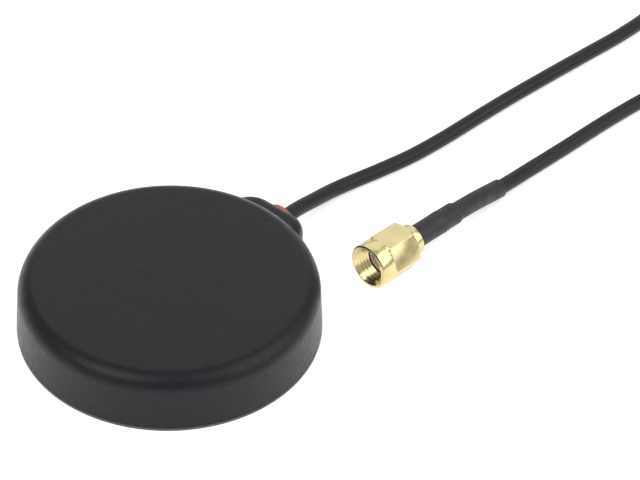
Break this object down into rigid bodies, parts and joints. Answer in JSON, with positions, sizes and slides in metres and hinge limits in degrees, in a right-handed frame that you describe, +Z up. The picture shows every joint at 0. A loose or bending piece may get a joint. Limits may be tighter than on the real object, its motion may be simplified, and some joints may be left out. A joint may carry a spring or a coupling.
{
  "type": "gnss receiver antenna",
  "caption": "Low round GNSS receiving antenna puck with a sealed coaxial lead on its side that ends in a gold SMA plug with a free-spinning hex nut.",
  "frame": {"origin": "centre of the housing's flat underside, on the surface it stands on", "axes": "+Z up out of the flat top, +X along the cable's exit from the housing"},
  "size_m": [0.2412, 0.0752, 0.0119],
  "materials": {
    "radome_plastic": "fine-grained satin",
    "base_plastic": "satin",
    "gasket_rubber": "satin",
    "screw_steel": "satin",
    "pad_rubber": "matt, fine-grained",
    "magnet_nickel": "nickel plated",
    "board": "solder mask",
    "tin_plate": "tin plated",
    "chip_plastic": "moulded",
    "ceramic": "fired ceramic",
    "silver": "printed silver",
    "pin_gold": "gold plated",
    "seal_silicone": "red-orange silicone",
    "cable_jacket": "satin PVC",
    "tie_rubber": "hook-and-loop tape",
    "insulator": "PTFE",
    "copper": "bare copper",
    "solder": "solder",
    "sleeve_plastic": "heat-shrink, satin",
    "plug_gold": "gold plated, satin",
    "plug_gasket": "pale silicone"
  },
  "bodies": {
    "root": {"radome": "radome_plastic", "base_plate": "base_plastic", "perimeter_gasket": "gasket_rubber", "base_screws": "screw_steel", "base_pad": "pad_rubber", "magnets": "magnet_nickel", "circuit_board": "board", "board_screws": "screw_steel", "shield_can": "tin_plate", "board_chips": "chip_plastic", "lower_patch": "ceramic", "lower_electrode": "silver", "upper_patch": "ceramic", "upper_electrode": "silver", "feed_pins": "pin_gold", "cable_seal": "seal_silicone", "cable_stop": "screw_steel", "cable_out": "cable_jacket", "cable_coil": "cable_jacket", "coil_tie": "tie_rubber", "cable_back": "cable_jacket", "coax_braid": "tin_plate", "coax_insulation": "insulator", "coax_core": "copper", "solder_joints": "solder", "sleeve_small": "sleeve_plastic", "sleeve_large": "sleeve_plastic", "crimp_ferrule": "plug_gold", "plug_body": "plug_gold", "plug_gasket": "plug_gasket", "plug_insulator": "insulator", "plug_contact": "pin_gold", "nut_ring": "plug_gold"},
    "nut": {"coupling_nut": "plug_gold"}
  },
  "joints": [
    {"name": "nut_spin", "type": "hinge", "parent": "root", "child": "nut", "pos_m": [0.03467, -0.02046, 0.00425], "axis": [0.9925, -0.1219, 0], "continuous": true}
  ]
}
